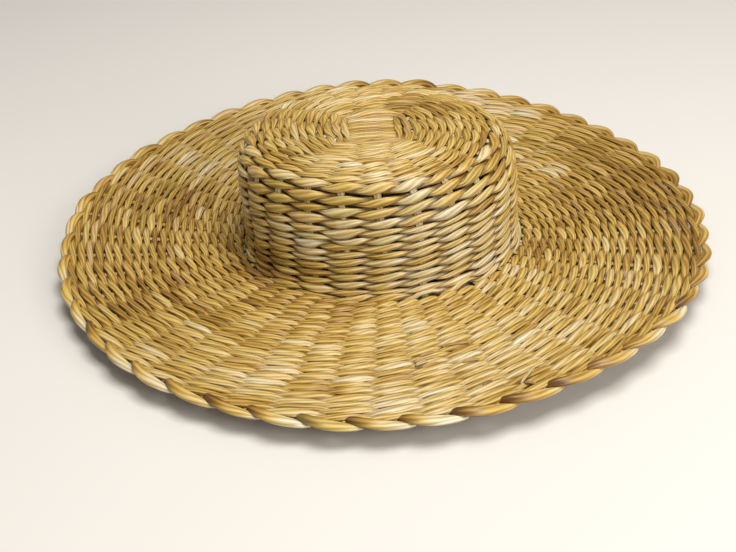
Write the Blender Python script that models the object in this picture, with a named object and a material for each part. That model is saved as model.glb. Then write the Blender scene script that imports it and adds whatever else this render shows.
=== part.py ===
"""Woven sun hat: a wide brim and a low oval crown, twined from twisted bulrush leaf.

The hat grows outwards from a cross of flat strips. Twined rows run round the cross and
make the tip, then the side of the crown, then the brim, whose edge is a scalloped border.
Metres, +Z up. X runs along the length of the head and Y across it. The origin is on the
surface the hat lies on, under the middle of the crown.
"""

import math
from collections import namedtuple

import bmesh
import bpy
from mathutils import Vector

# Overall sizes, in metres
BRIM_RADIUS = 0.231
CROWN_LENGTH = 0.203
CROWN_WIDTH = 0.177
CROWN_HEIGHT = 0.096
CROWN_LEAN = 0.005
WALL = 0.006
CLEARANCE = 0.0003

# The cross that the weaving starts from, a little nearer the front than the back
CROSS_SETTING = 0.005
STRIPS_EACH_WAY = 6
STRIP_WIDTH = 0.005
STRIP_GAP = 0.0003
STRIP_THICKNESS = 0.0027
STRIP_ROUNDING = 0.0008

# The tip: the shape of its dome, and the share of its reach where it stops being square
TIP_DOME_POWER = 3.2
TIP_ROUND_BY = 0.4

# Sections of the crown's side from the shoulder down to the foot. The first two columns
# are shares of half the crown's length and width, and the third is a share of its height.
Section = namedtuple("Section", "length width height")
SIDE_SECTIONS = (
    Section(length=0.843, width=0.882, height=0.940),
    Section(length=0.920, width=0.909, height=0.912),
    Section(length=0.970, width=0.932, height=0.833),
    Section(length=0.995, width=0.951, height=0.700),
    Section(length=1.004, width=0.969, height=0.534),
    Section(length=1.004, width=0.986, height=0.332),
    Section(length=1.000, width=1.000, height=0.120),
    Section(length=1.000, width=1.000, height=0.065),
    Section(length=1.000, width=1.000, height=0.000),
)

# The brim's rise towards its edge, and the slow waves along that edge, whose heights are
# shares of the tallest one's
BRIM_LIFT = 0.0006
BRIM_RISE = 0.0135
BRIM_RISE_POWER = 1.6
WAVE_HEIGHT = 0.0028
Wave = namedtuple("Wave", "lobes height peak_degrees")
EDGE_WAVES = (
    Wave(lobes=2, height=1.0, peak_degrees=112.0),
    Wave(lobes=3, height=0.8, peak_degrees=77.0),
    Wave(lobes=5, height=0.35, peak_degrees=20.0),
)

# The border: one loop of leaf for each stake of the brim
BORDER_LOOPS = 48
BORDER_THICKNESS = 0.005
LOOP_REACH = 0.0056
LOOP_ROUNDNESS = 0.8
POINTS_PER_LOOP = 4

# How finely the walls are faceted: one side of each ring for each stake of the brim
RING_SIDES = BORDER_LOOPS
TIP_STEPS = 10
SIDE_STEPS = 14
BRIM_STEPS = 10
SHARP_ANGLE = math.radians(40.0)

Ring = namedtuple("Ring", "half_length half_width height x y roundness sway")

STRAW = (0.58, 0.37, 0.13, 1.0)
STRAW_PALE = (0.68, 0.47, 0.20, 1.0)
STRAW_BROWN = (0.50, 0.30, 0.10, 1.0)
STRAW_ROUGHNESS = 0.55


def clear_scene():
    """Empties the scene."""
    for item in list(bpy.data.objects):
        bpy.data.objects.remove(item)


def straw(name, colour):
    """A plain dried-leaf material."""
    material = bpy.data.materials.new(name)
    material.use_nodes = True
    shader = material.node_tree.nodes["Principled BSDF"]
    shader.inputs["Base Color"].default_value = colour
    shader.inputs["Roughness"].default_value = STRAW_ROUGHNESS
    shader.inputs["Metallic"].default_value = 0.0
    return material


def mix(start, end, share):
    """The value at a share of the way from start to end."""
    return start + (end - start) * share


def side_section(share):
    """The section at a share of the way down the side, on a smooth curve through the table."""
    last = len(SIDE_SECTIONS) - 1
    place = min(max(share, 0.0), 1.0) * last
    index = min(int(place), last - 1)
    t = place - index
    before, start, end, after = (
        SIDE_SECTIONS[min(max(index + step, 0), last)] for step in (-1, 0, 1, 2)
    )
    values = []
    for p0, p1, p2, p3 in zip(before, start, end, after):
        slope_1 = (p2 - p0) / 2 if index > 0 else p2 - p1
        slope_2 = (p3 - p1) / 2 if index < last - 1 else p2 - p1
        values.append(
            (2 * t**3 - 3 * t**2 + 1) * p1
            + (t**3 - 2 * t**2 + t) * slope_1
            + (3 * t**2 - 2 * t**3) * p2
            + (t**3 - t**2) * slope_2
        )
    return Section(*values)


def cross_half_size():
    """Half the side of the square that the cross of strips fills."""
    pitch = STRIP_WIDTH + STRIP_GAP
    return (STRIPS_EACH_WAY * pitch - STRIP_GAP) / 2


def crown_ring(place):
    """The middle of the crown's wall, at the cross for 0, the shoulder for 1, the foot for 2.

    The crown leans: its rings shift towards -X by the square of their share of the height.
    """
    top = CROWN_HEIGHT - WALL / 2
    section = side_section(place - 1)
    shoulder = Ring(
        section.length * (CROWN_LENGTH - WALL) / 2,
        section.width * (CROWN_WIDTH - WALL) / 2,
        section.height * top,
        -(section.height**2) * CROWN_LEAN,
        0.0,
        1.0,
        0.0,
    )
    if place >= 1:
        return shoulder
    inside = cross_half_size() + CLEARANCE
    share = max(place, 0.0)
    height = mix(top, shoulder.height, share**TIP_DOME_POWER)
    return Ring(
        mix(inside, shoulder.half_length, share),
        mix(inside, shoulder.half_width, share),
        height,
        -((height / top) ** 2) * CROWN_LEAN,
        -(1 - share) * CROSS_SETTING,
        min(share / TIP_ROUND_BY, 1.0),
        0.0,
    )


def brim_ring(place):
    """The middle of the brim's wall, at the crown's foot for 0 and at the border for 1."""
    share = min(max(place, 0.0), 1.0)
    return Ring(
        mix(CROWN_LENGTH / 2 + CLEARANCE, BRIM_RADIUS, share),
        mix(CROWN_WIDTH / 2 + CLEARANCE, BRIM_RADIUS, share),
        WALL / 2 + BRIM_LIFT + BRIM_RISE * share**BRIM_RISE_POWER,
        0.0,
        0.0,
        1.0,
        share**2,
    )


def edge_wave(angle):
    """How far the brim's edge stands above or below its mean height at this angle."""
    return WAVE_HEIGHT * sum(
        wave.height * math.cos(wave.lobes * (angle - math.radians(wave.peak_degrees)))
        for wave in EDGE_WAVES
    )


def shifted(ring_at, place, distance):
    """The ring at this place, moved square off the middle of the wall to the outside."""
    step = 0.02
    low, high = ring_at(place - step), ring_at(place + step)
    across = (high.half_length + high.half_width - low.half_length - low.half_width) / 2
    down = high.height - low.height
    slope = math.hypot(across, down)
    out, up = -down / slope * distance, across / slope * distance
    ring = ring_at(place)
    return ring._replace(
        half_length=ring.half_length + out,
        half_width=ring.half_width + out,
        height=ring.height + up,
    )


def ring_point(ring, angle):
    """A point of a ring, whose plan goes from a rectangle to an oval with its roundness."""
    cosine, sine = math.cos(angle), math.sin(angle)
    reach = mix(1 / max(abs(cosine), abs(sine)), 1.0, ring.roundness)
    return Vector(
        (
            ring.x + ring.half_length * reach * cosine,
            ring.y + ring.half_width * reach * sine,
            ring.height + ring.sway * edge_wave(angle),
        )
    )


def finished(name, data, material):
    """Puts a mesh or a curve in the scene as a named object."""
    data.materials.append(material)
    item = bpy.data.objects.new(name, data)
    bpy.context.scene.collection.objects.link(item)
    return item


def woven_wall(name, ring_at, start, end, steps, material):
    """A closed wall between two places.

    The rings run out along the outer face and back along the inner one, so that the
    last joins the first and no end is left open.
    """
    places = [mix(start, end, index / steps) for index in range(steps + 1)]
    rings = [shifted(ring_at, place, WALL / 2) for place in places]
    rings += [shifted(ring_at, place, -WALL / 2) for place in reversed(places)]

    bm = bmesh.new()
    loops = [
        [bm.verts.new(ring_point(ring, math.tau * k / RING_SIDES)) for k in range(RING_SIDES)]
        for ring in rings
    ]
    for index, loop in enumerate(loops):
        following = loops[(index + 1) % len(loops)]
        for k in range(RING_SIDES):
            after = (k + 1) % RING_SIDES
            bm.faces.new((loop[k], following[k], following[after], loop[after]))
    bmesh.ops.recalc_face_normals(bm, faces=bm.faces)
    mesh = bpy.data.meshes.new(name)
    bm.to_mesh(mesh)
    bm.free()
    mesh.shade_smooth()
    mesh.set_sharp_from_angle(angle=SHARP_ANGLE)
    return finished(name, mesh, material)


def cross_strip(name, along_x, number, material):
    """One flat strip of the cross: those along X lie over those along Y."""
    half = cross_half_size()
    offset = -half + STRIP_WIDTH / 2 + number * (STRIP_WIDTH + STRIP_GAP)
    level = CROWN_HEIGHT - WALL / 2
    level += (STRIP_THICKNESS + CLEARANCE) / 2 * (1 if along_x else -1)

    bm = bmesh.new()
    bmesh.ops.create_cube(bm, size=1.0)
    bmesh.ops.scale(bm, vec=(2 * half, STRIP_WIDTH, STRIP_THICKNESS), verts=bm.verts)
    mesh = bpy.data.meshes.new(name)
    bm.to_mesh(mesh)
    bm.free()
    strip = finished(name, mesh, material)
    across = Vector((0.0, offset, 0.0)) if along_x else Vector((offset, 0.0, 0.0))
    strip.location = Vector((-CROWN_LEAN, -CROSS_SETTING, level)) + across
    strip.rotation_euler.z = 0.0 if along_x else math.pi / 2

    rounding = strip.modifiers.new("rounded_edges", "BEVEL")
    rounding.width = STRIP_ROUNDING
    rounding.segments = 1
    return strip


def border(name, material):
    """The scalloped border: one rope of leaf that meets the brim at every stake.

    Its distance from the brim's edge is the sine of the angle counted in loops, raised
    to a power below one, so that the loops are round outside and pointed at the stakes.
    """
    path = bpy.data.curves.new(name, "CURVE")
    path.dimensions = "3D"
    path.bevel_depth = BORDER_THICKNESS / 2
    path.bevel_resolution = 1
    spline = path.splines.new("POLY")
    count = BORDER_LOOPS * POINTS_PER_LOOP
    spline.points.add(count - 1)
    spline.use_cyclic_u = True
    edge = brim_ring(1.0)
    foot = CLEARANCE + BORDER_THICKNESS / 2
    for index, point in enumerate(spline.points):
        angle = math.tau * index / count
        bulge = abs(math.sin(BORDER_LOOPS * angle / 2)) ** LOOP_ROUNDNESS
        reach = foot + LOOP_REACH * bulge
        ring = edge._replace(
            half_length=edge.half_length + reach, half_width=edge.half_width + reach
        )
        point.co = (*ring_point(ring, angle), 1.0)
    return finished(name, path, material)


def build_hat():
    """Builds every piece of the hat."""
    golden = straw("golden_straw", STRAW)
    pale = straw("pale_straw", STRAW_PALE)
    brown = straw("brown_straw", STRAW_BROWN)
    for number in range(STRIPS_EACH_WAY):
        cross_strip(f"cross_strip_over_{number + 1}", True, number, pale)
        cross_strip(f"cross_strip_under_{number + 1}", False, number, brown)
    parting = CLEARANCE / (CROWN_HEIGHT - WALL)
    woven_wall("crown_tip", crown_ring, 0.0, 1.0 - parting, TIP_STEPS, golden)
    woven_wall("crown_side", crown_ring, 1.0 + parting, 2.0, SIDE_STEPS, golden)
    woven_wall("brim", brim_ring, 0.0, 1.0, BRIM_STEPS, golden)
    border("edge_border", pale)


clear_scene()
build_hat()
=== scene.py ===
"""Woven sun hat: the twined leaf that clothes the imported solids.

A row of the weave is two strands of twisted leaf. They wind round each other once for every
two stakes, so that one is in front of a stake while the other is behind it. The rows start
round a cross of flat strips, make the tip, turn down the side of the crown and spread into
the brim, where each stake end is bent over into a loop of the border.
"""

from __future__ import annotations

import logging
import math
from dataclasses import dataclass, field
from enum import Enum

import bpy
import numpy as np
from mathutils import Matrix, Vector

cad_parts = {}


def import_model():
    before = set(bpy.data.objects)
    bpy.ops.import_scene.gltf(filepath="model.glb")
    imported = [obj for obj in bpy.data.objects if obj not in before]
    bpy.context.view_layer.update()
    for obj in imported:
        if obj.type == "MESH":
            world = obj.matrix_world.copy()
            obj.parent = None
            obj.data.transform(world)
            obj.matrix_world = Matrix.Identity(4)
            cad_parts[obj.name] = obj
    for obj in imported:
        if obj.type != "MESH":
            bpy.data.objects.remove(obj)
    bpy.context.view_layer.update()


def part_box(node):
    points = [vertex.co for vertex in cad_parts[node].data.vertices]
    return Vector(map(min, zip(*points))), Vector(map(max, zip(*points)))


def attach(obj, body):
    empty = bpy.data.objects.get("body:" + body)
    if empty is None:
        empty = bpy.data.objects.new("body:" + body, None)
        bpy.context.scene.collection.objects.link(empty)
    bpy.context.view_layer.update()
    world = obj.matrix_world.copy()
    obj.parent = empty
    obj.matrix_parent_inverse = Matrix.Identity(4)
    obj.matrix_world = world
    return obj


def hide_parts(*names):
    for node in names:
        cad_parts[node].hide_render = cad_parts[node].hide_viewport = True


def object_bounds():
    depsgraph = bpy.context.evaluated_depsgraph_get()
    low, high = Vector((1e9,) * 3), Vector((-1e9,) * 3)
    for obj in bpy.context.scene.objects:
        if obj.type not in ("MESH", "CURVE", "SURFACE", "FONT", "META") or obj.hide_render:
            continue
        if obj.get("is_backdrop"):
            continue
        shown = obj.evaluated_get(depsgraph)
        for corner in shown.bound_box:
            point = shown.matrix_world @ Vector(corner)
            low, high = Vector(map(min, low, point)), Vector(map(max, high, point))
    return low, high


LOG = logging.getLogger("woven_hat")
TAU = 2.0 * math.pi
IMAGE_WIDTH = 736
UV_NAME = "strand"
NUDGE = 1e-3
WALL_SAMPLES = 160
NOISE_ROUGHNESS = 0.6

Array = np.ndarray
Marks = dict[str, np.ndarray | float]
Colour = tuple[float, float, float]
Point = tuple[float, float, float]


# Working with arrays


def mix(start: Array | float, end: Array | float, share: Array | float) -> Array | float:
    """The value at a share of the way from start to end."""
    return start + (end - start) * share


def unit(vectors: Array) -> Array:
    """Each vector over its own length."""
    return vectors / np.linalg.norm(vectors, axis=-1, keepdims=True)


def smooth_rows(rows: Array, share: Array) -> Array:
    """Reads a table on a smooth curve through its rows.

    The curve is a cubic between each two rows, and its slope at a row is half the change
    from the row before to the row after.

    Args:
        rows: the table, one row for each even step of the share.
        share: where to read, from 0 at the first row to 1 at the last.

    Returns:
        One row of the table for each share.
    """
    last = len(rows) - 1
    position = np.clip(share, 0.0, 1.0) * last
    index = np.minimum(position.astype(int), last - 1)
    t = (position - index)[..., None]
    padded = np.concatenate([2 * rows[:1] - rows[1:2], rows, 2 * rows[-1:] - rows[-2:-1]])
    before, start, end, after = (padded[index + step] for step in range(4))
    return (
        (2 * t**3 - 3 * t**2 + 1) * start
        + (t**3 - 2 * t**2 + t) * (end - before) / 2
        + (3 * t**2 - 2 * t**3) * end
        + (t**3 - t**2) * (after - start) / 2
    )


def ripples(rng: np.random.Generator, count: int, angle: Array, lobes: range) -> Array:
    """Closed, smooth, uneven waves round the hat, about one unit high.

    Each is a sum of cosines of whole multiples of the angle, with random heights and phases.

    Args:
        rng: the source of the heights and phases.
        count: how many different waves to make.
        angle: the angles round the hat.
        lobes: the multiples of the angle.

    Returns:
        The waves, one row each.
    """
    multiples = np.array(lobes)
    heights = rng.normal(size=(count, multiples.size)) / math.sqrt(multiples.size / 2)
    phases = rng.uniform(0.0, TAU, size=(count, multiples.size))
    turns = multiples[None, :, None] * angle[None, None, :] + phases[:, :, None]
    return (heights[:, :, None] * np.cos(turns)).sum(axis=1)


# The middle surfaces of the walls


@dataclass(frozen=True)
class WallFrame:
    """The points of a wall, and the directions out of it and along it there."""

    point: Array
    outward: Array
    along: Array


class Wall:
    """The middle surface of a woven wall.

    Place runs along the wall, away from the middle of the hat, and angle runs round it.
    """

    def point(self, place: Array, angle: Array) -> Array:
        """The point of the surface at each place and angle."""
        raise NotImplementedError

    def frame(self, place: Array, angle: Array) -> WallFrame:
        """Finds the surface's directions from the differences between close points.

        Args:
            place: how far along the wall.
            angle: how far round it.

        Returns:
            The points with the unit vectors out of the surface and along it.
        """
        place, angle = np.broadcast_arrays(place, angle)
        along = unit(self.point(place + NUDGE, angle) - self.point(place - NUDGE, angle))
        around = unit(self.point(place, angle + NUDGE) - self.point(place, angle - NUDGE))
        return WallFrame(self.point(place, angle), unit(np.cross(along, around)), along)

    def places_at(self, start: float, end: float, share: Array, angle: Array) -> Array:
        """Finds places by their distance along the wall, separately at each angle.

        Args:
            start: the place where the distance is 0.
            end: the place where it is 1.
            share: the distances, one row for each line round the wall.
            angle: the angle of each column.

        Returns:
            The place for each distance.
        """
        places = np.linspace(start, end, WALL_SAMPLES)
        points = self.point(places[:, None], angle[None, :])
        steps = np.linalg.norm(np.diff(points, axis=0), axis=-1)
        run = np.concatenate([np.zeros((1, angle.size)), np.cumsum(steps, axis=0)])
        run /= run[-1]
        columns = [np.interp(share[:, k], run[:, k], places) for k in range(angle.size)]
        return np.stack(columns, axis=1)


@dataclass(frozen=True)
class CrownWall(Wall):
    """The crown, from the cross at place 0 by the shoulder at 1 to the foot at 2.

    On the tip, the half length, half width and height go in proportion from the cross to
    the shoulder, the height by a power of the share, and the plan turns from a square into
    an oval. Down the side they follow the table of sections. The crown leans towards -X by
    the square of its share of the height, and the cross is set a little towards -Y.
    """

    half_length: float = 0.1015
    half_width: float = 0.0885
    height: float = 0.096
    lean: float = 0.005
    setting: float = 0.005
    thickness: float = 0.006
    cross_half: float = 0.0160
    dome_power: float = 3.2
    round_by: float = 0.4

    # Shares of the half length, half width and height, from the shoulder to the foot, where
    # the last three rows of the table spread to meet the brim
    sections = np.array(
        [
            (0.843, 0.882, 0.940),
            (0.920, 0.909, 0.912),
            (0.970, 0.932, 0.833),
            (0.995, 0.951, 0.700),
            (1.004, 0.969, 0.534),
            (1.004, 0.986, 0.332),
            (1.008, 1.008, 0.120),
            (1.025, 1.036, 0.065),
            (1.040, 1.062, 0.000),
        ]
    )

    def point(self, place: Array, angle: Array) -> Array:
        """The point of the crown at each place and angle."""
        section = smooth_rows(self.sections, place - 1.0)
        inset = self.thickness / 2
        top = self.height - inset
        share = np.clip(place, 0.0, 1.0)
        length = mix(self.cross_half, section[..., 0] * (self.half_length - inset), share)
        width = mix(self.cross_half, section[..., 1] * (self.half_width - inset), share)
        height = mix(top, section[..., 2] * top, share**self.dome_power)
        cosine, sine = np.cos(angle), np.sin(angle)
        square = 1.0 / np.maximum(np.abs(cosine), np.abs(sine))
        plan = mix(square, 1.0, np.clip(share / self.round_by, 0.0, 1.0))
        x = length * plan * cosine - self.lean * (height / top) ** 2
        y = width * plan * sine - self.setting * (1.0 - share)
        return np.stack(np.broadcast_arrays(x, y, height), axis=-1)


@dataclass(frozen=True)
class BrimWall(Wall):
    """The brim, from the foot of the crown at place 0 to its edge at 1.

    The plan goes in proportion from the crown's oval to a circle. The height rises by a
    power of the share, and slow waves grow with the square of the share.
    """

    half_length: float = 0.1018
    half_width: float = 0.0888
    radius: float = 0.231
    foot_height: float = 0.0036
    rise: float = 0.0135
    rise_power: float = 1.6
    wave_height: float = 0.0028

    # Lobes round the brim, share of the wave height, and angle of a peak in degrees
    waves = np.array([(2, 1.0, 112.0), (3, 0.8, 77.0), (5, 0.35, 20.0)])

    def point(self, place: Array, angle: Array) -> Array:
        """The point of the brim at each place and angle."""
        place = np.asarray(place, dtype=float)
        share = np.maximum(place, 0.0)
        length = mix(self.half_length, self.radius, place)
        width = mix(self.half_width, self.radius, place)
        lobes, shares, peaks = self.waves.T
        turned = np.asarray(angle, dtype=float)[..., None] - np.radians(peaks)
        wave = self.wave_height * (shares * np.cos(lobes * turned)).sum(axis=-1)
        height = self.foot_height + self.rise * share**self.rise_power + share**2 * wave
        return np.stack([length * np.cos(angle), width * np.sin(angle), height], axis=-1)


# Skins made of swept strands


@dataclass
class Strands:
    """Many strands of the same number of steps, each a line with an oval section.

    All but the centre may be given once for all strands, or once for all steps.

    Attributes:
        centre: the lines' points, by strand and step.
        outward: the direction out of the wall at each point.
        half_width: half the section's size along the wall.
        half_depth: half the section's size through the wall.
        marks: values for the material, by name.
        closed: whether the last step joins the first.
    """

    centre: Array
    outward: Array
    half_width: Array | float
    half_depth: Array | float
    marks: Marks
    closed: bool = True

    def runs(self) -> Array:
        """The distance along each strand at every step, and at its end where it closes."""
        points = self.centre
        if self.closed:
            points = np.concatenate([points, points[:, :1]], axis=1)
        steps = np.linalg.norm(np.diff(points, axis=1), axis=-1)
        return np.concatenate([np.zeros((len(points), 1)), np.cumsum(steps, axis=1)], axis=1)

    def tangents(self) -> Array:
        """The direction of each strand at every step."""
        if self.closed:
            ahead = np.roll(self.centre, -1, axis=1)
            behind = np.roll(self.centre, 1, axis=1)
            return unit(ahead - behind)
        return unit(np.gradient(self.centre, axis=1))

    def skin(self, name: str, sides: int) -> bpy.types.Object:
        """Sweeps the oval sections along the strands and closes their ends.

        A point of the skin is the centre, plus the width direction by half the width and
        the cosine of its turn, plus the depth direction by half the depth and the sine.

        Args:
            name: the new piece's name.
            sides: how many points each section has.

        Returns:
            The new piece, with its strand map and marks.
        """
        count, steps = self.centre.shape[:2]
        tangent = self.tangents()
        across = unit(np.cross(self.outward, tangent))
        through = np.cross(tangent, across)
        turn = TAU * (np.arange(sides) / sides) - TAU / 4
        wide = np.broadcast_to(self.half_width, (count, steps))[..., None]
        deep = np.broadcast_to(self.half_depth, (count, steps))[..., None]
        ring = (
            across[:, :, None, :] * (wide * np.cos(turn))[..., None]
            + through[:, :, None, :] * (deep * np.sin(turn))[..., None]
        )
        vertices = (self.centre[:, :, None, :] + ring).reshape(-1, 3)

        spans = steps if self.closed else steps - 1
        strand, step, side = np.meshgrid(
            np.arange(count), np.arange(spans), np.arange(sides), indexing="ij"
        )
        next_step = (step + 1) % steps
        next_side = (side + 1) % sides

        def number(at_step: Array, at_side: Array) -> Array:
            """The vertex at a step and a side of each strand."""
            return (strand * steps + at_step) * sides + at_side

        low, high = number(step, side), number(next_step, side)
        low_next, high_next = number(step, next_side), number(next_step, next_side)
        quads = np.stack([low, low_next, high_next, high], axis=-1).reshape(-1, 4)

        runs = self.runs()
        start, end = runs[strand, step], runs[strand, step + 1]
        left, right = side / sides + strand, (side + 1) / sides + strand
        uv = np.stack([left, start, right, start, right, end, left, end], axis=-1).reshape(-1, 2)

        caps = np.empty((0, sides), dtype=int)
        if not self.closed:
            base = np.arange(count)[:, None] * steps * sides
            first = base + np.arange(sides)[::-1]
            last = base + (steps - 1) * sides + np.arange(sides)
            caps = np.concatenate([first, last])
            uv = np.concatenate([uv, np.tile([[0.5, 0.0]], (caps.size, 1))])
        marks = {
            key: np.repeat(np.broadcast_to(value, (count, steps)).ravel(), sides)
            for key, value in self.marks.items()
        }
        return new_piece(name, vertices, quads, caps, uv, marks)


def new_piece(
    name: str, vertices: Array, quads: Array, caps: Array, uv: Array, marks: dict[str, Array]
) -> bpy.types.Object:
    """Puts arrays into a smooth mesh object at the origin.

    Args:
        name: the object's name.
        vertices: the points.
        quads: the four-cornered faces.
        caps: the faces that close the ends, all with the same number of corners.
        uv: the strand map, one row for each corner of the quads and then of the caps.
        marks: values for the material, by name, one for each vertex.

    Returns:
        The new object.
    """
    mesh = bpy.data.meshes.new(name)
    mesh.vertices.add(len(vertices))
    mesh.vertices.foreach_set("co", vertices.astype(np.float32).ravel())
    corners = np.concatenate([quads.ravel(), caps.ravel()])
    starts = np.concatenate(
        [np.arange(len(quads)) * 4, quads.size + np.arange(len(caps)) * max(caps.shape[1], 1)]
    )
    mesh.loops.add(corners.size)
    mesh.loops.foreach_set("vertex_index", corners.astype(np.int32))
    mesh.polygons.add(starts.size)
    mesh.polygons.foreach_set("loop_start", starts.astype(np.int32))
    mesh.update(calc_edges=True)
    mesh.uv_layers.new(name=UV_NAME).data.foreach_set("uv", uv.astype(np.float32).ravel())
    for key, value in marks.items():
        layer = mesh.attributes.new(key, "FLOAT", "POINT")
        layer.data.foreach_set("value", value.astype(np.float32))
    mesh.shade_smooth()
    piece = bpy.data.objects.new(name, mesh)
    bpy.context.scene.collection.objects.link(piece)
    return piece


# Shader maths


class Value:
    """A shader socket that adds its Math nodes when it is used in an expression."""

    def __init__(self, shader: Shader, socket: bpy.types.NodeSocket) -> None:
        """Wraps a socket of a shader."""
        self.shader = shader
        self.socket = socket

    def _math(self, operation: str, first: Value | float, second: Value | float) -> Value:
        """Adds one Math node."""
        node = self.shader.node("ShaderNodeMath", {"operation": operation}, {0: first, 1: second})
        return Value(self.shader, node.outputs[0])

    def __add__(self, other: Value | float) -> Value:
        """The sum."""
        return self._math("ADD", self, other)

    def __sub__(self, other: Value | float) -> Value:
        """The difference."""
        return self._math("SUBTRACT", self, other)

    def __rsub__(self, other: float) -> Value:
        """The difference, with a number first."""
        return self._math("SUBTRACT", other, self)

    def __mul__(self, other: Value | float) -> Value:
        """The product."""
        return self._math("MULTIPLY", self, other)

    __radd__ = __add__
    __rmul__ = __mul__

    def within(self) -> Value:
        """The value held between 0 and 1."""
        node = self.shader.node("ShaderNodeClamp", {}, {0: self})
        return Value(self.shader, node.outputs[0])

    def wave(self) -> Value:
        """A wave between -1 and 1 that comes round once for every unit of the value."""
        return self._math("SINE", self * TAU, 0.0)


class Shader:
    """A new material and the one method that adds nodes to it."""

    def __init__(self, name: str) -> None:
        """Makes a material with its Principled surface."""
        self.material = bpy.data.materials.new(name)
        self.material.use_nodes = True
        self.tree = self.material.node_tree
        self.surface = self.tree.nodes["Principled BSDF"]

    def node(self, kind: str, settings: dict, inputs: dict) -> bpy.types.Node:
        """Adds a node.

        Args:
            kind: the node's type.
            settings: its own settings, set first.
            inputs: a value, a Value or a socket for each input, by name or number.

        Returns:
            The new node.
        """
        made = self.tree.nodes.new(kind)
        for key, value in settings.items():
            setattr(made, key, value)
        for key, value in inputs.items():
            self.feed(made.inputs[key], value)
        return made

    def feed(self, target: bpy.types.NodeSocket, value: object) -> None:
        """Links a socket or a Value to an input, or sets the input to a number or colour."""
        if isinstance(value, Value):
            value = value.socket
        if isinstance(value, bpy.types.NodeSocket):
            self.tree.links.new(value, target)
        elif isinstance(value, tuple) and len(value) == 3 and target.type == "RGBA":
            target.default_value = (*value, 1.0)
        else:
            target.default_value = value

    def mark(self, name: str) -> Value:
        """A value that the mesh holds under this name."""
        made = self.node("ShaderNodeAttribute", {"attribute_name": name}, {})
        return Value(self, made.outputs["Fac"])

    def place(self) -> bpy.types.NodeSocket:
        """The place on the hat, in metres."""
        return self.node("ShaderNodeTexCoord", {}, {}).outputs["Object"]

    def strand_map(self) -> tuple[Value, Value]:
        """The turn round a strand, from 0 to 1, and the distance along it in metres."""
        made = self.node("ShaderNodeUVMap", {"uv_map": UV_NAME}, {})
        parts = self.node("ShaderNodeSeparateXYZ", {}, {0: made.outputs[0]})
        return Value(self, parts.outputs[0]), Value(self, parts.outputs[1])

    def vector(self, x: Value | float, y: Value | float, z: Value | float) -> bpy.types.NodeSocket:
        """Three values as one vector."""
        return self.node("ShaderNodeCombineXYZ", {}, {0: x, 1: y, 2: z}).outputs[0]

    def noise(
        self, where: bpy.types.NodeSocket, scale: float = 1.0, detail: float = 2.0
    ) -> Value:
        """Smooth noise between 0 and 1."""
        inputs = {"Vector": where, "Scale": scale, "Detail": detail, "Roughness": NOISE_ROUGHNESS}
        return Value(self, self.node("ShaderNodeTexNoise", {}, inputs).outputs["Fac"])

    def ramp(self, factor: Value, stops: list[tuple[float, Colour]]) -> bpy.types.NodeSocket:
        """A colour read from a ramp, whose stops go from low to high."""
        made = self.node("ShaderNodeValToRGB", {}, {0: factor})
        elements = made.color_ramp.elements
        while len(elements) < len(stops):
            elements.new(1.0)
        for element, (position, colour) in zip(elements, stops):
            element.position = position
            element.color = (*colour, 1.0)
        return made.outputs[0]

    def blend(self, factor: Value | float, first: object, second: object) -> bpy.types.NodeSocket:
        """One colour mixed into another.

        Args:
            factor: how much of the second shows.
            first: the colour below.
            second: the colour laid over it.

        Returns:
            The mixed colour.
        """
        inputs = {0: factor, 6: first, 7: second}
        return self.node("ShaderNodeMix", {"data_type": "RGBA"}, inputs).outputs[2]


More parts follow.
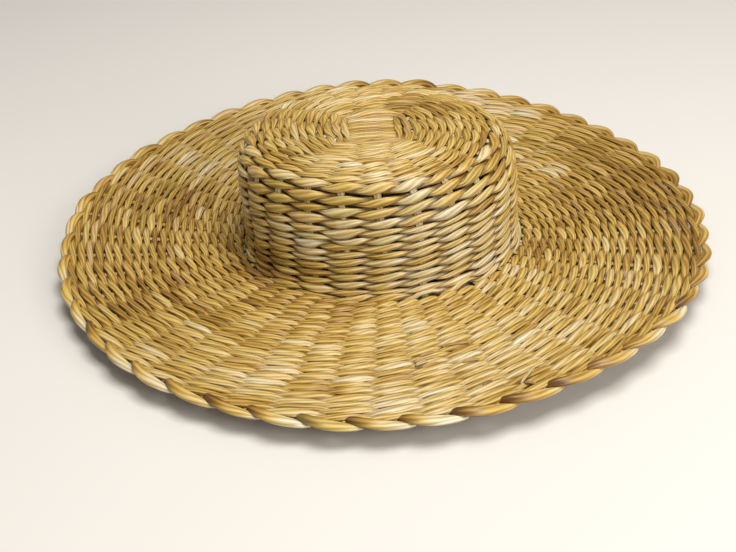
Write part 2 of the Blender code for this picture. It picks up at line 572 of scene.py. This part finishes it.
@dataclass(frozen=True)
class LeafFinish:
    """Dried bulrush leaf: golden to cream, painted brown shade in its dips, lengthwise folds and
    fibres.

    The folds are waves of the turn round the strand, five to a turn, that wind slowly along
    it and wander a little. Their creases are painted darker, as painted shade, and their
    ridges paler, as painted highlight. The marks of the mesh give the tone, which picks a
    colour between brown and cream, and the tints.
    """

    name: str

    # The colours from the darkest tone to the palest, the tone of each, and two tints
    brown: Colour = (0.110, 0.044, 0.007)
    ochre: Colour = (0.318, 0.174, 0.024)
    golden: Colour = (0.515, 0.345, 0.082)
    pale: Colour = (0.585, 0.485, 0.295)
    cream: Colour = (0.700, 0.635, 0.460)
    stops: tuple[float, ...] = (0.05, 0.28, 0.50, 0.72, 0.95)
    lift: float = 0.0
    pink: Colour = (0.440, 0.260, 0.120)
    pink_share: float = 0.4
    green: Colour = (0.430, 0.380, 0.090)
    green_share: float = 0.25

    # How often each pattern changes, round the strand and for each metre along it
    fibres: float = 13.0
    fibre_slant: float = 70.0
    fibre_rate: float = 40.0
    patches: float = 2.0
    patch_rate: float = 22.0
    patch_layer: float = 4.0
    region_scale: float = 16.0
    folds: float = 5.0
    fold_twist: float = 8.0
    fold_wander: float = 1.6

    # How much each pattern changes the tone
    fibre_tone: float = 0.45
    patch_tone: float = 0.35
    region_tone: float = 0.45
    # The folds' tone is painted highlight on their ridges and painted shade in their creases
    fold_light_and_shade: float = 0.07

    # Painted shade: where dips and creases turn brown, how sharply, and how brown they get
    dip_shade_level: float = 0.20
    dip_shade_share: float = 0.75
    crease_shade_level: float = 0.25
    crease_shade_share: float = 0.38
    sharpness: float = 1.1

    # The surface and its relief
    roughness: float = 0.42
    roughness_change: float = 0.25
    gloss: float = 0.5
    groove: float = 0.0006
    relief: float = 0.8
    fibre_height: float = 0.6
    patch_height: float = 0.4
    fold_height: float = 0.35

    def material(self) -> bpy.types.Material:
        """Makes the material.

        Returns:
            A material that reads the strand map and the marks tone, depth, pink and green.
        """
        shader = Shader(self.name)
        turn, run = shader.strand_map()
        slanted = turn * self.fibres + run * self.fibre_slant
        fibre_at = shader.vector(slanted, run * self.fibre_rate, 0.0)
        fibre = shader.noise(fibre_at, detail=3.0)
        patch_at = shader.vector(turn * self.patches, run * self.patch_rate, self.patch_layer)
        patch = shader.noise(patch_at)
        region = shader.noise(shader.place(), self.region_scale)
        fold = (self.folds * (turn + run * self.fold_twist) + patch * self.fold_wander).wave()

        tone = shader.mark("tone") + (fibre - 0.5) * self.fibre_tone
        tone = tone + (patch - 0.5) * self.patch_tone + self.lift
        tone = tone + (region - 0.5) * self.region_tone + fold * self.fold_light_and_shade
        colours = (self.brown, self.ochre, self.golden, self.pale, self.cream)
        colour = shader.ramp(tone, list(zip(self.stops, colours)))
        colour = shader.blend(shader.mark("pink") * self.pink_share, colour, self.pink)
        colour = shader.blend(shader.mark("green") * self.green_share, colour, self.green)
        # Painted shade: brown where the strand dips behind a stake
        dip = ((self.dip_shade_level - shader.mark("depth")) * self.sharpness).within()
        # Painted shade in the creases of the folds
        crease_shade = ((fold * -1.0 - self.crease_shade_level) * self.sharpness).within()
        colour = shader.blend(dip * self.dip_shade_share, colour, self.brown)
        colour = shader.blend(crease_shade * self.crease_shade_share, colour, self.brown)

        height = fibre * self.fibre_height + patch * self.patch_height + fold * self.fold_height
        inputs = {"Strength": self.relief, "Distance": self.groove, "Height": height}
        bump = shader.node("ShaderNodeBump", {}, inputs)
        roughness = self.roughness + (fibre - 0.5) * self.roughness_change
        surface = shader.surface.inputs
        shader.feed(surface["Base Color"], colour)
        shader.feed(surface["Roughness"], roughness)
        shader.feed(surface["Normal"], bump.outputs[0])
        surface["Specular IOR Level"].default_value = self.gloss
        return shader.material


class Slot(Enum):
    """The material slots."""

    GOLDEN = "golden_straw"
    PALE = "pale_straw"
    BROWN = "brown_straw"


def leaf_marks(
    tone: Array | float,
    depth: Array | float = 1.0,
    pink: Array | float = 0.0,
    green: Array | float = 0.0,
) -> Marks:
    """The values that a leaf's finish reads from its mesh.

    Args:
        tone: how pale the leaf is, from 0 to 1.
        depth: how far it stands out, from below 0 in a dip to 1.
        pink: how pink it is.
        green: how green it is.

    Returns:
        The values by their names.
    """
    return {"tone": tone, "depth": depth, "pink": pink, "green": green}


def settle(
    piece: bpy.types.Object, material: bpy.types.Material, slot: Slot, *nodes: str
) -> None:
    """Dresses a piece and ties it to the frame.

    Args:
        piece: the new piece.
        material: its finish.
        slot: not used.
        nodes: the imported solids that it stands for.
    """
    piece.data.materials.append(material)
    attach(piece, "root")
    if nodes:
        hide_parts(*nodes)
    LOG.info("%s: %d faces", piece.name, len(piece.data.polygons))


# The weave


@dataclass(frozen=True)
class Row:
    """One twined row.

    Attributes:
        stakes: how many stakes it goes round.
        share: its width, as a share of a plain row's.
        fill: how much of its width a strand fills right over a stake.
        full: how much of it a strand fills beside the stake.
    """

    stakes: int
    share: float = 1.0
    fill: float = 0.98
    full: float = 0.98


@dataclass(frozen=True)
class Push:
    """A spot where the rows part, so that a dark gap shows between them.

    Attributes:
        edge: the number of the row edge that is pushed, counted from the wall's start.
        degrees: the angle of its middle.
        spread: half its width in degrees.
        rows: how far it is pushed, in row widths.
    """

    edge: float
    degrees: float
    spread: float
    rows: float

    def shift(self, edge: Array, angle: Array) -> Array:
        """A bell over the angle, which falls off over the edges next to the pushed one."""
        away = np.degrees(angle) - self.degrees
        return self.rows * np.exp(-((away / self.spread) ** 4) - np.abs(edge - self.edge))


@dataclass(frozen=True)
class StainAndHighlightPatch:
    """A browner or paler patch of the weave; the paler ones are painted highlights.

    Attributes:
        row: the number of its middle row, counted from the wall's start.
        degrees: the angle of its middle.
        rows: half its height in rows.
        spread: half its width in degrees.
        tone: how much browner it is, or less than 0 for paler.
    """

    row: float
    degrees: float
    rows: float
    spread: float
    tone: float

    def shade(self, row: Array, angle: Array) -> Array:
        """A bell over the rows and the angle."""
        across = (row - self.row) / self.rows
        around = ((np.degrees(angle) - self.degrees + 180.0) % 360.0 - 180.0) / self.spread
        return self.tone * np.exp(-(across**2) - around**2)


@dataclass
class TwinedRows:
    """Rows of paired strands on one wall.

    With the phase as half the number of stakes times the angle, plus half a turn for the
    second strand, a strand stands out of the wall by the cosine of the phase, and shifts
    along the wall by its sine, so that it slants where it passes in front of a stake. It is
    widest there, and narrowest where the two strands cross between the stakes, one above
    the other. Loose is how much less it fills at the left and right of the hat than in
    front and behind, and side_shade is how much browner the leaf is painted there, as painted
    shade. dip_shade_climb is how far the painted brown shade of the dips climbs up the strands.
    """

    name: str
    wall: Wall
    start: float
    end: float
    rows: list[Row]
    seed: int
    loose: float = 0.0
    pushes: tuple[Push, ...] = ()
    stains_and_highlights: tuple[StainAndHighlightPatch, ...] = ()
    steps: int = 288
    sides: int = 8

    # The shape of a strand: where it crosses and how full it is there, in row widths, how far
    # it swings out and how thick it is, and how sharply it turns, squares off and widens
    crossing: float = 0.245
    crossing_fill: float = 0.30
    swing: float = 0.0015
    half_depth: float = 0.0018
    turning: float = 0.94
    squaring: float = 1.3
    widening: float = 8.0
    thickening: float = 0.1

    # The hand's unevenness: in the rows' edges and at the two ends of the wall, in the
    # strands' slack and phase, and in the place, swing and width of each passage over a stake
    wander: float = 0.09
    end_wander: float = 0.3
    slack_ripple: float = 0.35
    most_slack: float = 1.4
    drift: float = 0.16
    place_change: float = 0.03
    swing_change: float = 0.10
    width_change: float = 0.05
    edge_lobes: range = range(3, 14)
    slack_lobes: range = range(2, 12)
    drift_lobes: range = range(1, 7)

    # The leaves' length and tones, painted shade at the sides and dips, and how rare their tints
    # are
    leaf_length: float = 0.55
    tone: float = 0.52
    leaf_change: float = 0.05
    passage_change: float = 0.06
    side_shade: float = 0.15
    dip_shade_climb: float = 0.0
    pink_from: float = 1.0
    green_from: float = 1.1

    def bands(self, rng: np.random.Generator, angle: Array) -> tuple[Array, Array]:
        """The places of the lower and upper edge of each row, with the hand's unevenness."""
        edges = np.concatenate([[0.0], np.cumsum([row.share for row in self.rows])])
        edges /= edges[-1]
        uneven = self.wander * ripples(rng, edges.size, angle, self.edge_lobes)
        uneven[[0, -1]] *= self.end_wander
        for push in self.pushes:
            uneven += push.shift(np.arange(edges.size)[:, None], angle[None, :])
        shares = edges[:, None] + uneven / len(self.rows)
        places = self.wall.places_at(self.start, self.end, shares, angle)
        return places[:-1, None, :], places[1:, None, :]

    def strands(self) -> Strands:
        """Works out the lines, sections and marks of all the strands."""
        rng = np.random.default_rng(self.seed)
        rows = len(self.rows)
        angle = TAU * np.arange(self.steps) / self.steps
        low, high = self.bands(rng, angle)
        stakes = np.array([row.stakes for row in self.rows])[:, None, None]
        fill = np.array([row.fill for row in self.rows])[:, None, None]
        full = np.array([row.full for row in self.rows])[:, None, None]
        slack = self.slack_ripple * ripples(rng, rows, angle, self.slack_lobes)
        slack = np.clip(np.cos(angle) ** 2 + slack, 0.0, self.most_slack)
        fill = fill - self.loose * slack[:, None, :]
        second = np.array([0.0, 1.0])[None, :, None]
        drift = ripples(rng, rows, angle, self.drift_lobes)[:, None, :]
        phase = stakes * angle / 2 + math.pi * second + self.drift * drift

        # The slant is nearly straight over a stake and turns quickly between two
        front = np.cos(phase)
        slant = np.arcsin(self.turning * np.sin(phase)) / math.asin(self.turning)
        passage = np.floor(phase / math.pi + 0.5).astype(int) % stakes
        numbers = np.arange(rows * 2).reshape(rows, 2, 1)
        beat = rng.normal(size=(rows * 2, int(stakes.max())))[numbers, passage]
        shift = self.place_change * beat * front**2
        place = mix(low, high, 0.5 - self.crossing * slant + shift)
        turns = np.broadcast_to(angle, place.shape)
        frame = self.wall.frame(place, turns)
        band = self.wall.point(high, turns) - self.wall.point(low, turns)
        pitch = np.linalg.norm(band, axis=-1)

        squared = np.tanh(self.squaring * front) / math.tanh(self.squaring)
        swing = self.swing * (1.0 + self.swing_change * beat) * squared
        centre = frame.point + frame.outward * swing[..., None]

        # The longer the reach over a stake, the more of it is wide, and it is drawn in just there
        over = 1.0 - (1.0 - front**2) ** (1.0 + self.widening / stakes)
        drawn = mix(full, fill, front**4)
        uneven = 1.0 + self.width_change * beat
        half_width = pitch * mix(self.crossing_fill, drawn / 2, over) * uneven
        half_depth = self.half_depth * (1.0 + self.thickening * (1.0 - front**2))
        flat = (rows * 2, self.steps)
        strands = Strands(
            centre.reshape(*flat, 3),
            frame.outward.reshape(*flat, 3),
            half_width.reshape(flat),
            half_depth.reshape(flat),
            {},
        )
        strands.marks = self.marks(rng, strands, beat.reshape(flat), front.reshape(flat))
        # Painted shade: the leaf is browner at the left and right of the hat
        strands.marks["tone"] -= self.side_shade * np.cos(angle) ** 2
        # Browner patches, and paler ones that are painted highlights
        for stain in self.stains_and_highlights:
            strands.marks["tone"] -= stain.shade(np.arange(rows * 2)[:, None] // 2, angle)
        return strands

    def marks(
        self, rng: np.random.Generator, strands: Strands, beat: Array, front: Array
    ) -> Marks:
        """The tone and tint of each leaf along the strands.

        Args:
            rng: the source of each leaf's look.
            strands: the strands, for the distance along them.
            beat: a random number for each passage over a stake.
            front: how far the strand stands out, from -1 to 1.

        Returns:
            The marks, by strand and step.
        """
        count = len(beat)
        run = strands.runs()[:, :-1]
        leaf = (run / self.leaf_length + rng.uniform(0.0, 1.0, size=(count, 1))).astype(int)
        looks = rng.normal(size=(3, count, int(leaf.max()) + 1))
        tone, pink, green = looks[:, np.arange(count)[:, None], leaf]
        # The depth sets where the finish paints shade in the dips, lowered by dip_shade_climb
        return leaf_marks(
            self.tone + self.leaf_change * tone + self.passage_change * beat,
            front - self.dip_shade_climb,
            np.clip(pink - self.pink_from, 0.0, 1.0),
            np.clip(green - self.green_from, 0.0, 1.0),
        )

    def build(self) -> bpy.types.Object:
        """Makes the rows' piece."""
        return self.strands().skin(self.name, self.sides)


@dataclass
class Stakes:
    """The flat warp leaves that the rows are twined round, one at each even angle."""

    name: str
    wall: Wall
    count: int
    first: float
    last: float
    tone: float
    tone_change: float = 0.08
    sink: float = 0.0
    half_width: float = 0.0022
    half_depth: float = 0.0009
    steps: int = 36
    sides: int = 6

    def build(self) -> bpy.types.Object:
        """Makes the stakes' piece."""
        rng = np.random.default_rng(self.count)
        angle = (TAU * np.arange(self.count) / self.count)[:, None]
        place = np.linspace(self.first, self.last, self.steps)[None, :]
        frame = self.wall.frame(place, angle)
        tone = self.tone + self.tone_change * rng.normal(size=(self.count, 1))
        centre = frame.point - frame.outward * self.sink
        strands = Strands(
            centre, frame.outward, self.half_width, self.half_depth, leaf_marks(tone), closed=False
        )
        return strands.skin(self.name, self.sides)


@dataclass
class Border:
    """The loops of the edge, one for each stake, each tucked under the next.

    A loop comes out from under the last row beside its stake, brown there with painted shade,
    swings out along the edge and runs on past the next stake, where its pale end goes under.
    Its path is a smooth curve through a few listed points.
    """

    wall: Wall
    loops: int = 48
    steps: int = 24
    sides: int = 12
    unevenness: float = 0.09
    tone_change: float = 0.07
    side_shade: float = 0.08
    front_start_shade: float = 0.45
    pink_from: float = 1.0
    green_from: float = 1.2
    depth_rise: float = 2.2
    seed: int = 11

    # Angle in loops, reach past the edge, lift, half width and half depth, in millimetres
    path = np.array(
        [
            (-0.10, -4.0, -1.2, 1.6, 1.2),
            (0.06, -0.6, 0.2, 2.4, 2.0),
            (0.26, 3.0, 1.5, 3.1, 2.6),
            (0.50, 5.4, 1.2, 3.8, 2.8),
            (0.75, 5.9, 0.2, 3.8, 2.8),
            (1.00, 5.3, -1.0, 3.1, 2.4),
            (1.20, 4.7, -1.9, 2.2, 1.8),
            (1.36, 3.6, -2.4, 1.2, 1.1),
        ]
    )

    # Share of the loop, and its tone there, brown at the start as painted shade under the last row
    tones = np.array([(0.0, 0.16), (0.2, 0.22), (0.42, 0.36), (0.6, 0.52), (1.0, 0.74)])

    def build(self) -> bpy.types.Object:
        """Makes the border's piece."""
        rng = np.random.default_rng(self.seed)
        share = np.linspace(0.0, 1.0, self.steps)
        turn, reach, lift, width, depth = smooth_rows(self.path, share).T
        number = np.arange(self.loops)[:, None]
        uneven = 1.0 + self.unevenness * rng.normal(size=(self.loops, 1))
        angle = TAU * (number + turn) / self.loops
        frame = self.wall.frame(1.0, angle)
        centre = (
            frame.point
            + frame.along * (reach * uneven / 1000)[..., None]
            + frame.outward * (lift / 1000)[:, None]
        )

        # Painted shade: the starts are brown under the last row, and browner still at the front of
        # the hat
        change = self.tone_change * rng.normal(size=(self.loops, 1))
        # Painted shade also darkens the loops at the left and right of the hat
        tone = np.interp(share, *self.tones.T) + change - self.side_shade * np.cos(angle) ** 2
        starts = np.clip(1.0 - 2.0 * share, 0.0, 1.0)
        tone -= self.front_start_shade * (starts * np.clip(-np.sin(angle), 0.0, 1.0) ** 2)
        tint = rng.normal(size=(self.loops, 1))
        # The depth rises from 0 at the start, where the finish paints shade
        marks = leaf_marks(
            tone,
            np.clip(self.depth_rise * share, 0.0, 1.0),
            np.clip(tint - self.pink_from, 0.0, 1.0),
            np.clip(-tint - self.green_from, 0.0, 1.0),
        )
        half_width = width * uneven / 1000
        strands = Strands(centre, frame.outward, half_width, depth / 1000, marks, closed=False)
        return strands.skin("border_loops", self.sides)


@dataclass
class LooseEnds:
    """Short ends of leaf that lie on the front of the brim, where one leaf joins the next.

    Each goes straight from one place and angle to another. It rests on the weave, a little
    higher in its middle, and narrows and dips at its ends.
    """

    wall: Wall
    rest: float = 0.0030
    bow: float = 0.0006
    half_depth: float = 0.0008
    end_width: float = 0.45
    end_depth: float = 0.3
    pink: float = 0.7
    steps: int = 12
    sides: int = 8

    # Place and angle in degrees of both ends, half width in millimetres, and tone
    ends = np.array(
        [
            (0.556, 275.8, 0.536, 279.5, 1.3, 0.34),
            (0.595, 274.5, 0.573, 279.8, 1.6, 0.40),
            (0.623, 274.6, 0.603, 277.2, 1.9, 0.55),
            (0.653, 275.5, 0.628, 279.5, 1.3, 0.30),
            (0.497, 281.2, 0.507, 287.5, 1.5, 0.20),
            (0.663, 283.6, 0.664, 286.8, 1.4, 0.36),
            (0.882, 284.3, 0.863, 286.2, 1.3, 0.12),
            (0.945, 289.8, 0.859, 294.0, 1.1, 0.62),
            (0.951, 290.3, 0.990, 291.6, 1.3, 0.26),
        ]
    )

    def build(self) -> bpy.types.Object:
        """Makes the ends' piece."""
        share = np.linspace(0.0, 1.0, self.steps)[None, :]
        start, start_turn, end, end_turn, width, tone = self.ends.T[:, :, None]
        middle = 1.0 - (2.0 * share - 1.0) ** 4
        angle = np.radians(mix(start_turn, end_turn, share))
        frame = self.wall.frame(mix(start, end, share), angle)
        height = self.rest - self.bow + 2.0 * self.bow * middle
        strands = Strands(
            frame.point + frame.outward * height[..., None],
            frame.outward,
            width / 1000 * mix(self.end_width, 1.0, middle),
            self.half_depth,
            leaf_marks(tone, mix(self.end_depth, 1.0, middle), self.pink),
            closed=False,
        )
        return strands.skin("loose_ends", self.sides)


@dataclass
class Cross:
    """The crossed flat strips that the tip starts from, one piece for each solid.

    A strip sways a little to one side in its middle, and drops and narrows at its ends by
    high powers of the distance from its middle.
    """

    pairs: int = 6
    under_seed: int = 20
    width: float = 0.0051
    thickness: float = 0.0027
    overrun: float = 0.0012
    sway: float = 0.00025
    over_drop: float = 0.0016
    under_drop: float = 0.00048
    drop_power: int = 12
    narrowing: float = 0.25
    narrowing_power: int = 8
    over_tone: float = 0.50
    under_tone: float = 0.40
    tone_change: float = 0.09
    steps: int = 18
    sides: int = 12

    def strip(self, node: str, over: bool, seed: int) -> bpy.types.Object:
        """Makes one strip in the place of its solid.

        Args:
            node: the solid's name.
            over: whether the strip is one of those on top, along X, or below, along Y.
            seed: the source of its small unevenness.

        Returns:
            The new piece.
        """
        rng = np.random.default_rng(seed)
        low, high = (np.array(corner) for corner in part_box(node))
        main, side = (0, 1) if over else (1, 0)
        share = np.sin(np.linspace(-TAU / 4, TAU / 4, self.steps))
        drop = self.over_drop if over else self.under_drop
        line = np.zeros((self.steps, 3))
        line[:, main] = share * ((high - low)[main] / 2 + self.overrun)
        line[:, side] = self.sway * rng.normal() * np.cos(math.pi * share / 2)
        line[:, 2] = -drop * np.abs(share) ** self.drop_power
        ends = 1.0 - self.narrowing * np.abs(share) ** self.narrowing_power
        tone = (self.over_tone if over else self.under_tone) + self.tone_change * rng.normal()
        strands = Strands(
            ((low + high) / 2 + line)[None],
            np.array([[[0.0, 0.0, 1.0]]]),
            self.width / 2 * ends,
            self.thickness / 2 * ends,
            leaf_marks(tone),
            closed=False,
        )
        return strands.skin(f"{node}_leaf", self.sides)


@dataclass
class Hat:
    """All the pieces of the hat."""

    closed_rows: int = 10
    open_rows: int = 4
    open_share: float = 1.39
    brim_rows: int = 20
    brim_start: float = 0.034
    brim_reach: float = 1.016
    tip_stakes: tuple[int, ...] = (4, 4, 8, 12, 12, 12, 12, 24, 24, 24, 24)
    crown_stakes: int = 24
    brim_stakes: int = 48
    crown: CrownWall = field(default_factory=CrownWall)
    brim: BrimWall = field(default_factory=BrimWall)

    def __post_init__(self) -> None:
        """Makes the finishes."""
        self.golden = LeafFinish("twined_leaf").material()
        self.pale = LeafFinish("border_leaf", lift=0.04).material()
        self.warp = LeafFinish("warp_leaf", lift=0.02).material()

    def weave_tip(self) -> None:
        """Twines the tip, from four stakes round the cross to twenty-four at the shoulder."""
        rows = [Row(stakes) for stakes in self.tip_stakes]
        weave = TwinedRows("tip_weave", self.crown, 0.0, 1.0, rows, seed=3, side_shade=0.08)
        # The paler patch at the front of the tip is a painted highlight
        weave.stains_and_highlights = (
            StainAndHighlightPatch(5, 48, 4, 26, 0.17),
            StainAndHighlightPatch(4, 165, 3, 18, 0.12),
            StainAndHighlightPatch(7, 266, 4, 36, -0.06),
        )
        settle(weave.build(), self.golden, Slot.GOLDEN, "crown_tip")

    def weave_side(self) -> None:
        """Twines the side of the crown, with open rows under the shoulder."""
        opened = Row(self.crown_stakes, self.open_share, fill=0.86, full=1.0)
        closed = Row(self.crown_stakes, fill=0.96, full=1.0)
        rows = [opened] * self.open_rows + [closed] * self.closed_rows
        weave = TwinedRows("side_weave", self.crown, 1.0, 1.978, rows, seed=5, swing=0.0019)
        weave.crossing = 0.215
        weave.crossing_fill = 0.235
        weave.dip_shade_climb = 0.20
        weave.side_shade = 0.04
        weave.pushes = (
            Push(14, 285.5, 4.6, -0.5),
            Push(14, 303, 5.0, -0.5),
            Push(14, 194, 2.6, -0.3),
            Push(14, 206, 2.6, -0.3),
        )
        # The paler patch on the front and right of the side is a painted highlight
        weave.stains_and_highlights = (StainAndHighlightPatch(12, 222, 4, 26, 0.16), StainAndHighlightPatch(7, 288, 12, 60, -0.06))
        settle(weave.build(), self.golden, Slot.GOLDEN, "crown_side")

    def weave_brim(self) -> None:
        """Twines the brim, in an inner and an outer half."""
        rows = [Row(self.brim_stakes, fill=0.96)] * (self.brim_rows // 2)
        middle = (self.brim_start + self.brim_reach) / 2
        inner = TwinedRows(
            "inner_brim_weave", self.brim, self.brim_start, middle, rows, seed=7, steps=576
        )
        inner.loose = 0.14
        inner.pushes = (
            Push(0, 285.5, 4.0, 0.12),
            Push(0, 303, 4.4, 0.12),
            Push(0, 193, 2.4, 0.1),
            Push(0, 205, 2.4, 0.1),
        )
        inner.stains_and_highlights = (
            StainAndHighlightPatch(0, 222, 3.5, 30, 0.14),
            StainAndHighlightPatch(1, 252, 1.8, 24, 0.11),
            StainAndHighlightPatch(6, 242, 0.7, 5, 0.18),
            StainAndHighlightPatch(9, 285, 0.7, 7, 0.14),
        )
        settle(inner.build(), self.golden, Slot.GOLDEN, "brim")
        outer = TwinedRows(
            "outer_brim_weave", self.brim, middle, self.brim_reach, rows, seed=8, steps=576
        )
        outer.loose = 0.20
        outer.stains_and_highlights = (
            StainAndHighlightPatch(6, 14, 4, 20, 0.16),
            StainAndHighlightPatch(5, 257, 0.7, 6, 0.22),
            StainAndHighlightPatch(2, 265, 0.7, 9, 0.12),
            StainAndHighlightPatch(3, 274, 0.7, 5, 0.14),
        )
        settle(outer.build(), self.golden, Slot.GOLDEN)

    def lay_loose_ends(self) -> None:
        """Lays the cut ends on the front of the brim, where one leaf was joined to the next."""
        settle(LooseEnds(self.brim).build(), self.warp, Slot.BROWN)

    def lay_stakes(self) -> None:
        """Lays the warp under the weave."""
        crown = Stakes("crown_stakes", self.crown, self.crown_stakes, 0.12, 1.98, tone=0.70)
        crown.half_width = 0.0029
        settle(crown.build(), self.warp, Slot.BROWN)
        brim = Stakes("brim_stakes", self.brim, self.brim_stakes, 0.0, 1.01, tone=0.42)
        brim.sink = 0.0006
        settle(brim.build(), self.warp, Slot.BROWN)

    def bind_edge(self) -> None:
        """Turns down the border."""
        settle(Border(self.brim).build(), self.pale, Slot.PALE, "edge_border")

    def cross_strips(self) -> None:
        """Lays the cross."""
        cross = Cross()
        for number in range(1, cross.pairs + 1):
            node = f"cross_strip_over_{number}"
            settle(cross.strip(node, True, number), self.pale, Slot.PALE, node)
            node = f"cross_strip_under_{number}"
            seed = cross.under_seed + number
            settle(cross.strip(node, False, seed), self.warp, Slot.BROWN, node)

    def build(self) -> None:
        """Makes every piece."""
        self.cross_strips()
        self.weave_tip()
        self.weave_side()
        self.weave_brim()
        self.bind_edge()
        self.lay_stakes()
        self.lay_loose_ends()


# The studio


@dataclass(frozen=True)
class Lamp:
    """A square light that faces the hat."""

    name: str
    place: Point
    watts: float
    colour: Colour
    side: float = 0.9

    def hang(self) -> None:
        """Hangs the lamp in its place."""
        data = bpy.data.lights.new(self.name, "AREA")
        data.size = self.side
        data.energy = self.watts
        data.color = self.colour
        light = bpy.data.objects.new(self.name, data)
        light.location = self.place
        light.rotation_mode = "QUATERNION"
        light.rotation_quaternion = (-Vector(self.place)).to_track_quat("-Z", "Y")
        bpy.context.scene.collection.objects.link(light)


@dataclass
class Studio:
    """A pale floor, soft lights and the camera of the photograph."""

    camera_at: Point = (-0.0125, -0.7306, 0.4447)
    camera_down: float = 33.26
    camera_roll: float = -2.70
    camera_near: float = 0.01
    focal_pixels: float = 1121.0
    sensor: float = 36.0
    floor_half: float = 3.0
    floor_colour: Colour = (0.62, 0.60, 0.57)
    floor_roughness: float = 0.85
    sky_colour: Colour = (1.0, 0.96, 0.90)
    sky_strength: float = 0.32
    lamps: tuple[Lamp, ...] = (
        Lamp("overhead", (0.25, -0.35, 1.7), 32.0, (1.0, 0.98, 0.94)),
        Lamp("front", (1.0, -1.2, 0.8), 17.0, (1.0, 0.97, 0.92)),
    )

    def lay_floor(self) -> None:
        """Lays the floor just under the hat."""
        half = self.floor_half
        mesh = bpy.data.meshes.new("floor")
        square = [(-half, -half, 0.0), (half, -half, 0.0), (half, half, 0.0), (-half, half, 0.0)]
        mesh.from_pydata(square, [], [(0, 1, 2, 3)])
        floor = bpy.data.objects.new("floor", mesh)
        bpy.context.scene.collection.objects.link(floor)
        shader = Shader("floor_matt")
        shader.feed(shader.surface.inputs["Base Color"], self.floor_colour)
        shader.feed(shader.surface.inputs["Roughness"], self.floor_roughness)
        mesh.materials.append(shader.material)
        floor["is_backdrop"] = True

    def light(self) -> None:
        """Lights the scene like a bright day in open shade."""
        world = bpy.data.worlds.new("pale_room")
        world.use_nodes = True
        background = world.node_tree.nodes["Background"]
        background.inputs["Color"].default_value = (*self.sky_colour, 1.0)
        background.inputs["Strength"].default_value = self.sky_strength
        bpy.context.scene.world = world
        bpy.context.scene.view_settings.view_transform = "Standard"
        for lamp in self.lamps:
            lamp.hang()

    def place_camera(self) -> None:
        """Puts the camera where the photograph was taken."""
        data = bpy.data.cameras.new("camera")
        data.sensor_width = self.sensor
        data.lens = self.sensor * self.focal_pixels / IMAGE_WIDTH
        data.clip_start = self.camera_near
        camera = bpy.data.objects.new("camera", data)
        tilt = Matrix.Rotation(math.radians(90.0 - self.camera_down), 4, "X")
        roll = Matrix.Rotation(math.radians(self.camera_roll), 4, "Z")
        camera.matrix_world = Matrix.Translation(self.camera_at) @ tilt @ roll
        bpy.context.scene.collection.objects.link(camera)
        bpy.context.scene.camera = camera

    def build(self) -> None:
        """Sets up everything round the hat."""
        self.place_camera()
        self.lay_floor()
        self.light()


def corners() -> list[list[float]]:
    """The lowest and highest corner of the shown object, as plain lists."""
    return [list(corner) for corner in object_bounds()]


def main() -> None:
    """Builds the studio and the hat."""
    logging.basicConfig(level=logging.INFO, format="%(message)s")
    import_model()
    Studio().build()
    Hat().build()
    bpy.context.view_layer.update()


if __name__ == "__main__":
    main()
